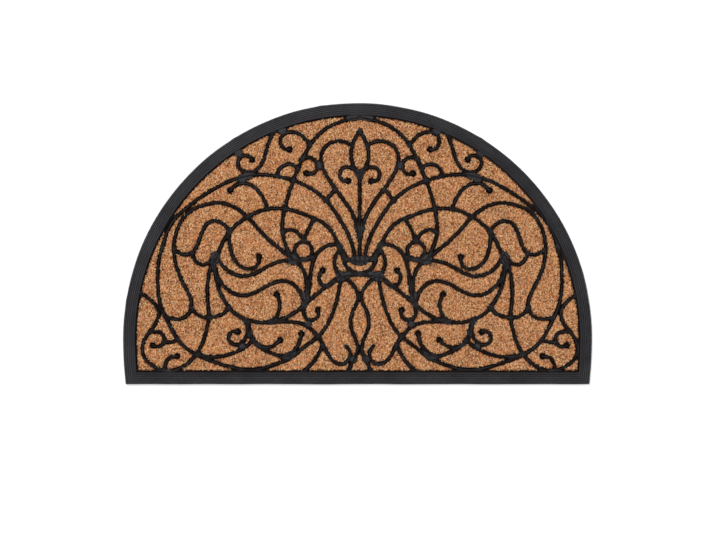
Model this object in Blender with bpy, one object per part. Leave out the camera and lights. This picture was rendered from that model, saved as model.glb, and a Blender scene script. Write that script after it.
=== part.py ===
# A half-round doormat: one black rubber moulding that carries scrollwork, filled with coir pile.
# Units are metres with +Z up. The origin is on the floor, under the middle of the mat's box.
# The straight edge of the mat faces -Y. Tables are in millimetres, and MM turns them to metres.

import math

import bmesh
import bpy
import numpy as np
from mathutils import Vector, geometry

MM = 0.001

# Outline
WIDTH = 750 * MM
DEPTH = 450 * MM
ARC_RADIUS = WIDTH / 2
SIDE_HEIGHT = DEPTH - ARC_RADIUS
SIDE_LEAN = 4 * MM
ARC_STEPS = 40
SIDE_STEPS = 3

# Thicknesses, from the floor up
BACKING_TOP = 3.0 * MM
RIM_HEIGHT = 3.5 * MM
RIDGE_FOOT = 6.0 * MM
RIDGE_TOP = 10.0 * MM
PILE_TOP = 11.0 * MM
GAP = 0.3 * MM

# The moulded ridges
RIDGE_WIDTH = 5.8 * MM
BULB_RADIUS = 4.2 * MM
BULB_SIDES = 8
SIDES_OF_A_RING = 18
MIRROR_LINE = 3.5 * MM
SAGITTA = 0.7 * MM
LONGEST_STEP = 35 * MM
FINE_STEP = 1 * MM

# How the flat outlines are laid out: keep the triangles inside them, join points this close,
# drop the corners this slight, and let the rubber fill any cell smaller than this.
INSIDE_TRIANGLES = 1
MERGE_MM = 0.02
STRAIGHT = math.radians(0.1)
SMALLEST_CELL = 8 * MM**2

# The border, from its rim inwards: each band's width and how far it climbs.
RIB_COUNT = 4
RIB_RISE = (1.4, 1.3)
RIB_FALL = (1.6, -0.5)
RIM_ROUNDING = (0.6, 0.6)
SMOOTH_BAND = (6.2, 2.9)
BAND_LIP = (0.8, 0.3)
INNER_WALL_WIDTH = 0.4

BORDER_BANDS = [RIM_ROUNDING] + [RIB_RISE, RIB_FALL] * RIB_COUNT + [SMOOTH_BAND, BAND_LIP]
RIDGE_OVERLAP = 1 * MM
BORDER_WIDTH = (sum(width for width, rise in BORDER_BANDS) + INNER_WALL_WIDTH) * MM
BORDER_TOP = RIM_HEIGHT + sum(rise for width, rise in BORDER_BANDS) * MM

# The scrollwork of the right half, in mm from the mirror line and from the straight edge.
# A bar runs smoothly through its points. Its curl, if it has one, is wound on from the last point:
# (first radius, last radius, turn in degrees), with a turn to the left counted positive.
# A bulb closes the free end of a bar.
# name, points, curl, bulb
BARS = [
    ("petal", [(0, 405), (10, 387), (14, 367), (10, 349), (0, 334)], None, False),
    ("side_petal", [(12, 381), (24, 387.5), (38, 388), (51, 383), (60, 371), (61, 351), (51, 330),
        (38, 311), (24, 292), (11, 270.5), (5, 253), (1.5, 236)], None, False),
    ("petal_curl", [(1, 331), (7, 342), (16, 346.5)], (13, 9.5, -215), True),
    ("tall_arch", [(0, 427), (22, 422), (42, 415), (60, 404), (78, 384), (94, 354), (104, 331),
        (113, 306), (120, 280), (123.5, 250), (119, 224), (106, 199)], None, False),
    ("arch_curl", [(95, 358), (88, 361.5), (81, 362)], (14.5, 11, 205), True),
    ("fan_strut", [(39, 312), (55, 293)], None, False),
    ("loop_over", [(7, 194), (8.5, 206), (15, 231), (34, 267), (56, 296), (88, 318), (125, 331),
        (162, 335), (204, 326), (243, 306), (278, 280.5), (300, 258), (315, 220)], None, False),
    ("loop_under", [(315, 220), (321, 198), (322.5, 175), (322, 150), (316, 121), (303, 93),
        (283, 63), (260, 47), (230, 35), (200, 26.5), (168, 24), (132, 33), (110, 43), (88, 60),
        (65, 78), (50, 99), (38, 130), (30, 172)], None, False),
    ("inner_arch", [(19, 200), (34, 225), (50, 250.5), (65, 262), (82, 269), (101, 276),
        (122, 280.5), (150, 279.5), (180, 267), (208, 244), (221, 222), (231, 196)], None, False),
    ("ring_strut", [(73, 264), (82, 248), (89, 230)], None, False),
    ("ring_arch", [(90, 230), (99, 242), (110, 247), (123, 243)], None, False),
    ("top_curl", [(79, 382), (88, 393), (99, 401), (111, 403)], (16.5, 11, -195), True),
    ("border_scroll", [(136, 406), (147, 381), (152.5, 362), (160.5, 347), (172, 339), (184, 340)
        ], (14.5, 10, 235), True),
    ("small_arch", [(99, 344), (108, 351), (118, 351), (127, 345), (132, 333)], None, False),
    ("loop_hook", [(147, 281), (154, 297), (164, 311), (178, 320), (194, 320), (207, 310)], None, True),
    ("shoulder", [(108, 200), (126, 215), (145, 231), (159, 245), (178, 266), (197, 281),
        (220, 289.5), (247, 287), (268, 278), (287, 257), (295.5, 232), (296, 203), (288, 175),
        (274, 146), (268.5, 127), (275, 111), (290, 104), (308, 107)], None, False),
    ("shoulder_link", [(208, 245), (219, 257), (231, 261), (243, 257), (252, 243), (258, 226),
        (268, 210), (281, 207.5), (296, 216)], None, False),
    ("shoulder_cup", [(268, 210), (262, 197), (251, 191), (241, 195), (231, 208)], None, False),
    ("leaf_hook", [(209, 245), (208, 226), (203, 205), (191, 189), (176, 184), (164, 190),
        (161, 204)], None, True),
    ("leaf_one", [(229, 206), (218, 188), (203, 177), (186, 173), (168, 177), (150, 187),
        (132, 195), (112, 198), (92, 199), (76, 201)], None, False),
    ("leaf_two", [(232, 194), (227, 172), (214, 154), (194, 143), (174, 144), (156, 153),
        (138, 162), (120, 165), (104, 158), (94, 145), (88, 128)], None, False),
    ("leaf_three", [(233, 190), (227, 158), (215, 132), (200, 114), (180, 103), (158, 99),
        (136, 101), (114, 109), (98, 119), (88, 127)], None, False),
    ("leaf_vein", [(144, 100), (134, 107), (129, 119), (128, 132), (133, 144)], None, True),
    ("tail", [(140, 100), (114, 100), (93, 97), (78, 88), (66, 75), (57, 60), (48, 44), (35, 33),
        (23, 34.5), (16, 44), (16.5, 54), (22, 61)], None, False),
    ("vein", [(33, 224), (46, 223), (60, 217), (70, 206), (76, 190), (79, 168), (82, 148),
        (88, 130), (89.5, 115)], (12.5, 11, -205), True),
    ("vein_side", [(103, 198), (93, 187), (87, 174), (85, 158), (86, 138)], None, False),
    ("low_leaf", [(182, 102), (177, 92), (175, 80), (167, 67), (154, 56), (139, 49), (122, 45),
        (104, 48)], None, False),
    ("low_vein_one", [(124, 43), (109, 51), (98, 64), (93, 81)], None, True),
    ("low_vein_two", [(165, 64), (151, 59), (138, 62), (127, 71)], None, True),
    ("vine_curl", [(183, 103), (179, 90), (181, 76), (190, 66)], (12.5, 9.5, 245), True),
    ("vine", [(169, 72), (180, 62), (195, 53), (212, 47), (232, 44), (259, 48)], None, False),
    ("trunk", [(232, 200), (240, 180), (243, 158), (243, 132), (241, 110), (245, 86), (252, 64),
        (262, 47), (274, 34), (290, 25), (308, 19)], None, False),
    ("swag", [(208, 124), (218, 113), (232, 108), (248, 107), (261, 113), (270, 124)], None, False),
    ("corner_vine", [(352, 147), (338, 138), (326, 126), (321, 115), (324, 101), (331, 90),
        (341, 77), (347, 60), (344, 43), (335, 33), (321, 25), (303, 19)], None, False),
    ("corner_curl", [(334, 84), (324, 84)], (12.5, 11, 215), True),
    ("corner_link", [(290, 72), (300, 68), (313, 67.5)], None, False),
    ("corner_hook", [(311, 21), (310, 33), (303, 42.5), (292, 45)], None, True),
    ("clasp_bowl", [(33, 222), (27, 204), (21, 188), (11, 180), (-1, 177)], None, False),
    ("clasp_leaf", [(31, 217), (38, 206), (40.5, 195), (38, 184), (29, 172)], None, False),
    ("clasp_foot", [(31, 172), (15, 174), (-1, 176)], None, False),
    ("clasp_rim", [(25, 203), (12, 198), (-1, 196)], None, False),
    ("clasp_stay", [(33, 172), (44.5, 163), (64, 148), (88, 128)], None, False),
    ("clasp_curl", [(42, 164), (49, 158), (57, 158), (63, 163), (65.5, 171), (59.5, 182)], None, True),
    ("waist", [(27, 172), (13, 161), (4, 148), (3.5, 134), (11, 117), (14.5, 98), (10, 80),
        (3.5, 62), (5, 48), (13, 33), (19, 17)], None, False),
    ("base_leg", [(59, 63), (64, 52), (71, 40), (81, 29), (95, 17)], None, False),
]
STEM = [(0, 340), (0, 194)]

# Where bars meet, the rubber fills the corner between them: x, y and radius of each round web.
WEBS = [
    (8, 427.5, 5), (16, 426, 4.5), (124, 406, 6), (178, 334, 6.5), (188, 329, 6),
    (194, 370, 6), (64.5, 350, 5), (231, 204, 7), (107, 199, 7.5), (87, 141, 5),
    (82, 96, 4.5), (112, 45, 5), (176, 82, 4), (188, 61, 4), (10, 40, 4.5),
    (0, 198, 5.5), (9, 199, 5), (30, 172.5, 7.5), (19, 175.5, 4.5), (4, 249, 3),
]
RING = (90, 213.5, 14)


def clear_scene():
    for item in list(bpy.data.objects):
        bpy.data.objects.remove(item)


def new_collection(name, shown):
    group = bpy.data.collections.new(name)
    group.hide_render = not shown
    bpy.context.scene.collection.children.link(group)
    return group


def new_material(name, colour, roughness):
    material = bpy.data.materials.new(name)
    material.use_nodes = True
    shader = material.node_tree.nodes["Principled BSDF"]
    shader.inputs["Base Color"].default_value = (*colour, 1)
    shader.inputs["Roughness"].default_value = roughness
    shader.inputs["Metallic"].default_value = 0
    return material


def new_object(name, mesh, group, material=None):
    made = bpy.data.objects.new(name, mesh)
    group.objects.link(made)
    if material:
        mesh.materials.append(material)
    if group.hide_render:
        made.hide_render = True
        made.display_type = "WIRE"
    return made


# The outline


def mat_outline():
    """The mat's edge, anticlockwise from the right end of its straight side."""
    middle_y = SIDE_HEIGHT - DEPTH / 2
    side = []
    for i in range(SIDE_STEPS):
        down = 1 - i / SIDE_STEPS
        side.append((ARC_RADIUS - SIDE_LEAN * down**2, middle_y - SIDE_HEIGHT * down))
    arc = []
    for i in range(ARC_STEPS + 1):
        angle = math.pi * i / ARC_STEPS
        arc.append((ARC_RADIUS * math.cos(angle), middle_y + ARC_RADIUS * math.sin(angle)))
    return side + arc + [(-x, y) for x, y in reversed(side)]


def outline_face(bm, z):
    face = bm.faces.new([bm.verts.new((x, y, z)) for x, y in mat_outline()])
    face.normal_update()
    return face


def inset(bm, face, width, rise):
    """Draws a face in by the width and lifts it by the rise, which leaves a sloping band round it."""
    even = {"use_even_offset": True, "use_boundary": True}
    bmesh.ops.inset_region(bm, faces=[face], thickness=width, depth=rise, **even)


def inner_edge(width):
    """The corners of the mat's outline, moved inwards by the width."""
    bm = bmesh.new()
    face = outline_face(bm, 0)
    inset(bm, face, width, 0)
    corners = [tuple(corner.vert.co.xy) for corner in face.loops]
    bm.free()
    return corners


def mesh_of(bm, name):
    bmesh.ops.recalc_face_normals(bm, faces=bm.faces)
    mesh = bpy.data.meshes.new(name)
    bm.to_mesh(mesh)
    bm.free()
    return mesh


# The routes of the scrollwork


def smooth_curve(points):
    """Points a fine step apart along the natural cubic spline through the given ones."""
    given = np.array(points, float) * MM
    if len(given) == 2:
        count = max(2, round(np.linalg.norm(given[1] - given[0]) / FINE_STEP))
        return given[0] + np.linspace(0, 1, count)[:, None] * (given[1] - given[0])
    span = np.linalg.norm(np.diff(given, axis=0), axis=1)
    slope = np.diff(given, axis=0) / span[:, None]
    inner = len(given) - 2
    matrix = np.zeros((inner, inner))
    for i in range(inner):
        matrix[i, i] = 2 * (span[i] + span[i + 1])
        if i:
            matrix[i, i - 1] = matrix[i - 1, i] = span[i]
    bend = np.zeros_like(given)
    bend[1:-1] = np.linalg.solve(matrix, 6 * np.diff(slope, axis=0))
    line = []
    for i, length in enumerate(span):
        t = np.arange(0, length, FINE_STEP)[:, None]
        heading = slope[i] - length * (2 * bend[i] + bend[i + 1]) / 6
        bending = bend[i] / 2 + t * (bend[i + 1] - bend[i]) / (6 * length)
        line.append(given[i] + t * (heading + t * bending))
    return np.vstack([*line, given[-1:]])


def wind_on(line, first_radius, last_radius, turn):
    """The line with a curl wound on from its end, in the direction that it arrives in."""
    heading = math.atan2(*(line[-1] - line[-2])[::-1])
    mean_radius = (first_radius + last_radius) / 2 * MM
    steps = round(math.radians(abs(turn)) * mean_radius / FINE_STEP)
    point, curl = line[-1], []
    for i in range(steps):
        heading += math.radians(turn) / steps
        radius = (first_radius + (last_radius - first_radius) * i / steps) * MM
        step = math.radians(abs(turn)) / steps * radius
        point = point + step * np.array([math.cos(heading), math.sin(heading)])
        curl.append(point)
    return np.vstack([line, curl])


def stations(line):
    """As few of a fine line's points as keep it within the sagitta of the curve."""
    kept = [0]
    for i in range(2, len(line)):
        chord = line[i] - line[kept[-1]]
        length = np.linalg.norm(chord)
        between = line[kept[-1] + 1 : i] - line[kept[-1]]
        off = np.abs(between[:, 0] * chord[1] - between[:, 1] * chord[0]) / max(length, FINE_STEP)
        if off.max() > SAGITTA or length > LONGEST_STEP:
            kept.append(i - 1)
    if len(line) - 1 - kept[-1] < 3 and len(kept) > 1:
        kept.pop()
    return line[kept + [len(line) - 1]]


def on_mat(point, side):
    """A table's point in the mat's own frame, on the right half for side 1 and the left for side -1."""
    return MIRROR_LINE + side * point[0], point[1] - DEPTH / 2


def bar_routes():
    """The stations of each bar of both halves, and whether it ends in a bulb."""
    routes = []
    for name, points, curl, bulb in BARS:
        line = smooth_curve(points)
        if curl:
            line = wind_on(line, *curl)
        for side in (1, -1):
            routes.append(([on_mat(point, side) for point in stations(line)], bulb))
    stem = [on_mat((x * MM, y * MM), 1) for x, y in STEM]
    return [*routes, (stem, False)]


# The flat outlines of ridges and grooves


def strip(route, grow, closed=False):
    """The quads of a flat strip along the route, mitred where they meet and grown on all sides."""
    width = RIDGE_WIDTH + 2 * grow
    line = np.array(route)
    ahead = np.roll(line, -1, axis=0) - line
    ahead /= np.linalg.norm(ahead, axis=1)[:, None]
    behind = np.roll(ahead, 1, axis=0)
    if not closed:
        behind[0] = ahead[0]
        ahead[-1] = behind[-1]
        line[0] -= grow * ahead[0]
        line[-1] += grow * ahead[-1]
    across = np.stack([-ahead[:, 1] - behind[:, 1], ahead[:, 0] + behind[:, 0]], axis=1)
    across *= width / (across**2).sum(axis=1)[:, None]
    left, right = line + across, line - across
    following = [*range(1, len(line)), 0] if closed else range(1, len(line))
    return [(right[i], right[j], left[j], left[i]) for i, j in enumerate(following)]


def disc(centre, radius, sides):
    """The corners of a round outline."""
    corners = []
    for i in range(sides):
        angle = 2 * math.pi * (i + 0.5) / sides
        corners.append((centre[0] + radius * math.cos(angle), centre[1] + radius * math.sin(angle)))
    return corners


def scrollwork(grow):
    """The flat outlines of every bar, bulb, web and ring, each grown by the same amount."""
    shapes = []
    for route, bulb in bar_routes():
        shapes += strip(route, grow)
        if bulb:
            shapes.append(disc(route[-1], BULB_RADIUS + grow, BULB_SIDES))
    for side in (1, -1):
        for x, y, radius in WEBS:
            shapes.append(disc(on_mat((x * MM, y * MM), side), radius * MM + grow, BULB_SIDES))
        x, y, radius = RING
        ring = disc(on_mat((x * MM, y * MM), side), radius * MM, SIDES_OF_A_RING)
        shapes += strip(ring, grow, closed=True)
    return shapes


def lay_out(edge, outlines, z):
    """A flat mesh of all that is inside the edge, its faces under the outlines, and its other faces."""
    corners, faces = [], []
    for outline in [edge, *outlines]:
        faces.append(list(range(len(corners), len(corners) + len(outline))))
        corners += [Vector(corner) / MM for corner in outline]
    found = geometry.delaunay_2d_cdt(corners, [], faces, INSIDE_TRIANGLES, MERGE_MM, True)
    bm = bmesh.new()
    verts = [bm.verts.new((point.x * MM, point.y * MM, z)) for point in found[0]]
    for triangle, cover in zip(found[2], found[5]):
        if 0 in cover:
            face = bm.faces.new([verts[i] for i in triangle])
            face.material_index = int(len(cover) > 1)
    unused = [vert for vert in bm.verts if not vert.link_faces]
    bmesh.ops.delete(bm, geom=unused, context="VERTS")
    flat = {"verts": bm.verts, "edges": bm.edges, "delimit": {"MATERIAL"}}
    bmesh.ops.dissolve_limit(bm, angle_limit=STRAIGHT, **flat)
    covered, bare = [], []
    for face in bm.faces:
        under = face.material_index or face.calc_area() < SMALLEST_CELL
        (covered if under else bare).append(face)
        face.material_index = 0
    return bm, covered, bare


def raise_faces(bm, faces, height, keep):
    """Extrudes faces upwards and returns the raised ones. With keep, the old ones stay as a floor."""
    edges = dict.fromkeys(edge for face in faces for edge in face.edges)
    verts = dict.fromkeys(vert for face in faces for vert in face.verts)
    made = bmesh.ops.extrude_face_region(bm, geom=[*faces, *edges, *verts], use_keep_orig=keep)
    lifted = [item for item in made["geom"] if isinstance(item, bmesh.types.BMVert)]
    bmesh.ops.translate(bm, verts=lifted, vec=(0, 0, height))
    return [item for item in made["geom"] if isinstance(item, bmesh.types.BMFace)]


# The two pieces


def rubber_moulding(group, material):
    """Backing, ribbed border and scrollwork, which come out of the mould as one piece of rubber."""
    bm = bmesh.new()
    [top] = raise_faces(bm, [outline_face(bm, 0)], RIM_HEIGHT, keep=True)
    for width, rise in BORDER_BANDS:
        inset(bm, top, width * MM, rise * MM)
    inset(bm, top, INNER_WALL_WIDTH * MM, BACKING_TOP - BORDER_TOP)
    moulding = new_object("rubber_moulding", mesh_of(bm, "rubber_moulding"), group, material)

    bm, covered, bare = lay_out(inner_edge(BORDER_WIDTH - RIDGE_OVERLAP), scrollwork(0), RIDGE_FOOT)
    bmesh.ops.delete(bm, geom=bare, context="FACES")
    raise_faces(bm, covered, RIDGE_TOP - RIDGE_FOOT, keep=True)
    ridges = new_object("ridges", mesh_of(bm, "ridges"), new_collection("helpers", shown=False))
    union = moulding.modifiers.new("ridges", "BOOLEAN")
    union.operation = "UNION"
    union.object = ridges
    union.solver = "EXACT"


def coir_pile(group, material):
    """The layer of coir, pressed down where the ridges of the moulding cross it."""
    groove_floor = RIDGE_FOOT - GAP
    bm, covered, bare = lay_out(inner_edge(BORDER_WIDTH + GAP), scrollwork(GAP), groove_floor)
    raise_faces(bm, bare, PILE_TOP - groove_floor, keep=False)
    rim = [item for item in bm.edges if item.is_boundary]
    made = bmesh.ops.extrude_edge_only(bm, edges=rim)
    verts = [item for item in made["geom"] if isinstance(item, bmesh.types.BMVert)]
    bmesh.ops.translate(bm, verts=verts, vec=(0, 0, BACKING_TOP + GAP - groove_floor))
    bmesh.ops.edgeloop_fill(bm, edges=[item for item in bm.edges if item.is_boundary])
    new_object("coir_pile", mesh_of(bm, "coir_pile"), group, material)


clear_scene()
doormat = new_collection("doormat", shown=True)
rubber = new_material("black_rubber", (0.028, 0.031, 0.036), 0.55)
coir = new_material("coir", (0.52, 0.25, 0.11), 0.95)
rubber_moulding(doormat, rubber)
coir_pile(doormat, coir)
bpy.context.view_layer.update()
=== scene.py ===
# A half-round doormat of black rubber and coir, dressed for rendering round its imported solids.
# Lengths are in metres, with +Z up and the mat's straight edge towards -Y. Tables are in millimetres.

import math

import bmesh
import bpy
import numpy as np
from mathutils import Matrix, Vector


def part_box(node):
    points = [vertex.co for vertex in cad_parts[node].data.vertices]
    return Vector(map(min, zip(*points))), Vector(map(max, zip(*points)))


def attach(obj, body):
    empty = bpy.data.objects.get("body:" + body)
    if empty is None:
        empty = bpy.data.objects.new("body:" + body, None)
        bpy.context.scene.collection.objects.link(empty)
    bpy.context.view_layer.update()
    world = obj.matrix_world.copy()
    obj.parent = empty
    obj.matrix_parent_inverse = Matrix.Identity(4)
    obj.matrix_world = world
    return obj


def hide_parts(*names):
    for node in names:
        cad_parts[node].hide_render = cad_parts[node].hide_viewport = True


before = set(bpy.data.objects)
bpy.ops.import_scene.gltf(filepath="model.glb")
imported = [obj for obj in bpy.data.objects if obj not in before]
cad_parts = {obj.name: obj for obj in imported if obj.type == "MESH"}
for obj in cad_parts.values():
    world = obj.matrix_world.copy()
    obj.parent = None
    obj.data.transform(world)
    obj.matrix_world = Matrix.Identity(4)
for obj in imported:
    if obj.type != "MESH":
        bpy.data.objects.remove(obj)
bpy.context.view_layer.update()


# The backing and its border
# The whole mat is carried by one compression moulding of black rubber, and this is its lower part.
# A plain backing lies under the coir. Round it, the border climbs inwards from a thin rim, in four
# fine ribs and one smooth band, so that no one trips on it.

MM = 0.001
moulding_low, moulding_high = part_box("rubber_moulding")
ARC_RADIUS = (moulding_high.x - moulding_low.x) / 2
ARC_CENTRE_Y = moulding_high.y - ARC_RADIUS
STRAIGHT_EDGE_Y = moulding_low.y
SIDE_HEIGHT = ARC_CENTRE_Y - STRAIGHT_EDGE_Y
SIDE_LEAN = 4 * MM
EDGE_STEP = 4 * MM
CORNER_CLEAR = 22 * MM

RIM_CHAMFER = 0.5 * MM
RIM_HEIGHT = 3.5 * MM
RIB_START = 0.6 * MM
RIB_START_HEIGHT = 4.1 * MM
RIB_COUNT = 4
RIB_PITCH = 3.0 * MM
RIB_CLIMB = 0.8 * MM
RIB_HEIGHT = 0.95 * MM
RIB_FULLNESS = 0.75
RIB_STEPS = 6
BAND_WIDTH = 6.2 * MM
LIP_ROUND = 0.5 * MM
BORDER_WIDTH = 20.0 * MM
BORDER_TOP = 10.4 * MM
BACKING_TOP = 3.0 * MM
# The smooth band, part by part of its width: (part, how far it stands off its straight slope in mm,
# how grey it is, partly from bloom and partly from painted sheen). A fine groove runs along its middle,
# painted darker as shade.
BAND = [
    (0, -0.1, 0.3), (0.12, 0.2, 0.6), (0.3, 0.3, 0.7), (0.46, 0.2, 0.6),
    (0.55, -0.35, 0.1), (0.64, 0.15, 0.6), (0.8, 0.2, 0.65), (1, 0, 0.5),
]
# How grey the rim is under its chamfer, at the chamfer and at its top, and the lip: partly bloom, and
# partly painted sheen that is palest on the top, which faces the light
RIM_BLOOM_AND_SHEEN = (0.4, 0.7, 0.9)
LIP_BLOOM_AND_SHEEN = 0.35
BORDER_SHARP_DEGREES = 50

RIM_WAVER = 0.35 * MM
RIM_WAVER_GRAIN = 45 * MM
# Small lips of flash that the mould left on the rim: place along the arc in degrees, how wide and
# how far out in mm
RIM_FLASH = [(58, 5, 0.7), (99, 7, 0.6), (122, 4, 0.5), (171, 6, 0.5)]

# Black for painted shade in grooves and on walls; the two greys for bloom and painted sheen on tops
# that face the light
RUBBER_BLACK = "#0d0502"
RUBBER_GREY = "#292a2d"
RUBBER_BLOOM_SHEEN_GREY = "#39393c"
RUBBER_IOR = 1.52
RUBBER_GLOSS = 0.04
RUBBER_ROUGHNESS = (0.42, 0.62)
RUBBER_BLOOM_SIZE = 35 * MM
RUBBER_MOTTLE_SIZE = 2.5 * MM
RUBBER_MOTTLE_SHARE = 0.5
# The noise values at which the mottled bloom is at its darkest and at its palest
RUBBER_MOTTLE_ENDS = (0.38, 0.62)
# The leathery grain is drawn coarser than the real 0.2 mm, so that it shows
RUBBER_GRAIN_SIZE = 0.5 * MM
RUBBER_GRAIN_DEPTH = 0.05 * MM
RUBBER_GRAIN_STRENGTH = 0.6

rng = np.random.default_rng(7)


def linear(hex_colour):
    """A shader's colour from an sRGB hex value."""
    parts = [int(hex_colour[i : i + 2], 16) / 255 for i in (1, 3, 5)]
    return [x / 12.92 if x <= 0.04045 else ((x + 0.055) / 1.055) ** 2.4 for x in parts] + [1.0]


def add_node(material, kind, inputs=(), stops=(), **settings):
    """Adds a node with its settings, and sets or links each named input. A colour ramp's stops are
    given with its two ends first."""
    added = material.node_tree.nodes.new(kind)
    for name, value in settings.items():
        setattr(added, name, value)
    for name, value in dict(inputs).items():
        if isinstance(value, bpy.types.NodeSocket):
            material.node_tree.links.new(value, added.inputs[name])
        else:
            added.inputs[name].default_value = value
    for i, (position, hex_colour) in enumerate(stops):
        stop = added.color_ramp.elements[i] if i < 2 else added.color_ramp.elements.new(position)
        stop.position = position
        stop.color = linear(hex_colour)
    return added


def new_material(name):
    """An empty material, ready for its nodes."""
    material = bpy.data.materials.new(name)
    material.use_nodes = True
    material.node_tree.nodes.clear()
    return material


def finish_material(material, inputs):
    """Joins one Principled shader to the material's output."""
    shader = add_node(material, "ShaderNodeBsdfPrincipled", inputs)
    add_node(material, "ShaderNodeOutputMaterial", {"Surface": shader.outputs["BSDF"]})
    return material


def moulded_rubber():
    """Black natural rubber, pressed in a steel mould: near black, half dull, with a faint leathery
    grain from the mould. A point attribute of each mesh mixes in a mottled grey: partly real bloom and
    wear, and partly a painted sheen on crests and tops that face the light. Where that attribute is
    low the rubber stays black, so its grooves and walls are painted dark as shade, with a trace of
    brown coir dust."""
    material = new_material("moulded_black_rubber")
    place = add_node(material, "ShaderNodeTexCoord").outputs["Object"]
    bloom_and_sheen = add_node(material, "ShaderNodeAttribute", attribute_name="bloom_and_sheen").outputs["Fac"]
    bloom = add_node(
        material,
        "ShaderNodeTexNoise",
        {"Vector": place, "Scale": 1 / RUBBER_BLOOM_SIZE, "Detail": 6.0, "Roughness": 0.62},
    ).outputs["Fac"]
    mottle = add_node(
        material,
        "ShaderNodeTexNoise",
        {"Vector": place, "Scale": 1 / RUBBER_MOTTLE_SIZE, "Detail": 3.0, "Roughness": 0.6},
    ).outputs["Fac"]
    grain = add_node(
        material,
        "ShaderNodeTexNoise",
        {"Vector": place, "Scale": 1 / RUBBER_GRAIN_SIZE, "Detail": 2.0},
    ).outputs["Fac"]
    mixed = add_node(
        material,
        "ShaderNodeMix",
        {"Factor": RUBBER_MOTTLE_SHARE, "A": bloom, "B": mottle},
    ).outputs["Result"]
    grey = add_node(
        material,
        "ShaderNodeValToRGB",
        {"Fac": mixed},
        stops=list(zip(RUBBER_MOTTLE_ENDS, (RUBBER_GREY, RUBBER_BLOOM_SHEEN_GREY))),
    ).outputs["Color"]
    colour = add_node(
        material,
        "ShaderNodeMix",
        {"Factor": bloom_and_sheen, "A": linear(RUBBER_BLACK), "B": grey},
        data_type="RGBA",
    ).outputs["Result"]
    shiny, dull = RUBBER_ROUGHNESS
    roughness = add_node(
        material,
        "ShaderNodeMapRange",
        {"Value": bloom, "From Min": 0.3, "From Max": 0.7, "To Min": shiny, "To Max": dull},
    ).outputs["Result"]
    bump = add_node(
        material,
        "ShaderNodeBump",
        {"Height": grain, "Strength": RUBBER_GRAIN_STRENGTH, "Distance": RUBBER_GRAIN_DEPTH},
    ).outputs["Normal"]
    gloss = {"IOR": RUBBER_IOR, "Specular IOR Level": RUBBER_GLOSS}
    return finish_material(
        material,
        {"Base Color": colour, "Roughness": roughness, "Normal": bump, **gloss},
    )


def smooth_noise(points, grain):
    """Random values from -1 to 1 at points on the plane, which change smoothly over one grain."""
    at = (points - points.min(axis=0)) / grain
    cell = np.floor(at).astype(int)
    part = at - cell
    part = part * part * (3 - 2 * part)
    lattice = rng.uniform(-1, 1, cell.max(axis=0) + 2)
    x, y = cell[:, 0], cell[:, 1]
    near = lattice[x, y] * (1 - part[:, 0]) + lattice[x + 1, y] * part[:, 0]
    far = lattice[x, y + 1] * (1 - part[:, 0]) + lattice[x + 1, y + 1] * part[:, 0]
    return near * (1 - part[:, 1]) + far * part[:, 1]


def mat_edge():
    """Points along the mat's outer edge, anticlockwise from the right end of its straight side. None
    lies so near a sharp corner that the border's inner lines would cross there."""
    steps = round(SIDE_HEIGHT / EDGE_STEP)
    down = 1 - np.arange(steps) / steps
    side = np.stack([ARC_RADIUS - SIDE_LEAN * down**2, ARC_CENTRE_Y - SIDE_HEIGHT * down], axis=1)
    corner = side[0]
    side = side[side[:, 1] > corner[1] + CORNER_CLEAR]
    angle = np.linspace(0, math.pi, round(math.pi * ARC_RADIUS / EDGE_STEP))
    arc = np.stack([np.cos(angle), np.sin(angle)], axis=1) * ARC_RADIUS + (0, ARC_CENTRE_Y)
    across = corner[0] - CORNER_CLEAR
    bottom = np.linspace(-across, across, round(2 * across / EDGE_STEP))
    bottom = np.column_stack([bottom, np.full(len(bottom), corner[1])])
    return np.vstack([corner, side, arc, side[::-1] * (-1, 1), corner * (-1, 1), bottom])


def inward(edge):
    """For each corner of a closed outline, the mitred step that moves its two sides in by one."""
    ahead = np.roll(edge, -1, axis=0) - edge
    ahead /= np.linalg.norm(ahead, axis=1)[:, None]
    behind = np.roll(ahead, 1, axis=0)
    both = np.stack([-ahead[:, 1] - behind[:, 1], ahead[:, 0] + behind[:, 0]], axis=1)
    return both * 2 / (both**2).sum(axis=1)[:, None]


def border_profile():
    """Inset, height and grey of bloom and painted sheen across the border, from under the rim to its
    inner wall's foot. The rib crests are painted palest, and the rib hollows and inner wall stay black
    as painted shade.
    """
    rim = [(RIM_CHAMFER, 0), (0, RIM_CHAMFER), (0, RIM_HEIGHT)]
    rows = [(inset, height, bloom_and_sheen) for (inset, height), bloom_and_sheen in zip(rim, RIM_BLOOM_AND_SHEEN)]
    for step in range(RIB_COUNT * RIB_STEPS):
        ribs = step / RIB_STEPS
        swell = math.sin(math.pi * (ribs % 1)) ** RIB_FULLNESS
        height = RIB_START_HEIGHT + RIB_CLIMB * ribs + RIB_HEIGHT * swell
        # Painted sheen on each rib's crest, and painted shade in the hollow between ribs
        rows.append((RIB_START + RIB_PITCH * ribs, height, 1 if step == 0 else swell))
    band_start = RIB_START + RIB_PITCH * RIB_COUNT
    band_foot = RIB_START_HEIGHT + RIB_CLIMB * RIB_COUNT
    band_climb = BORDER_TOP - LIP_ROUND / 2 - band_foot
    for part, off, bloom_and_sheen in BAND:
        rows.append((band_start + BAND_WIDTH * part, band_foot + band_climb * part + off * MM, bloom_and_sheen))
    rows.append((BORDER_WIDTH - LIP_ROUND, BORDER_TOP, LIP_BLOOM_AND_SHEEN))
    # The inner wall stays black: painted shade where the coir stands against it
    rows.append((BORDER_WIDTH, BORDER_TOP - LIP_ROUND, 0))
    rows.append((BORDER_WIDTH, BACKING_TOP, 0))
    return np.array(rows)


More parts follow.
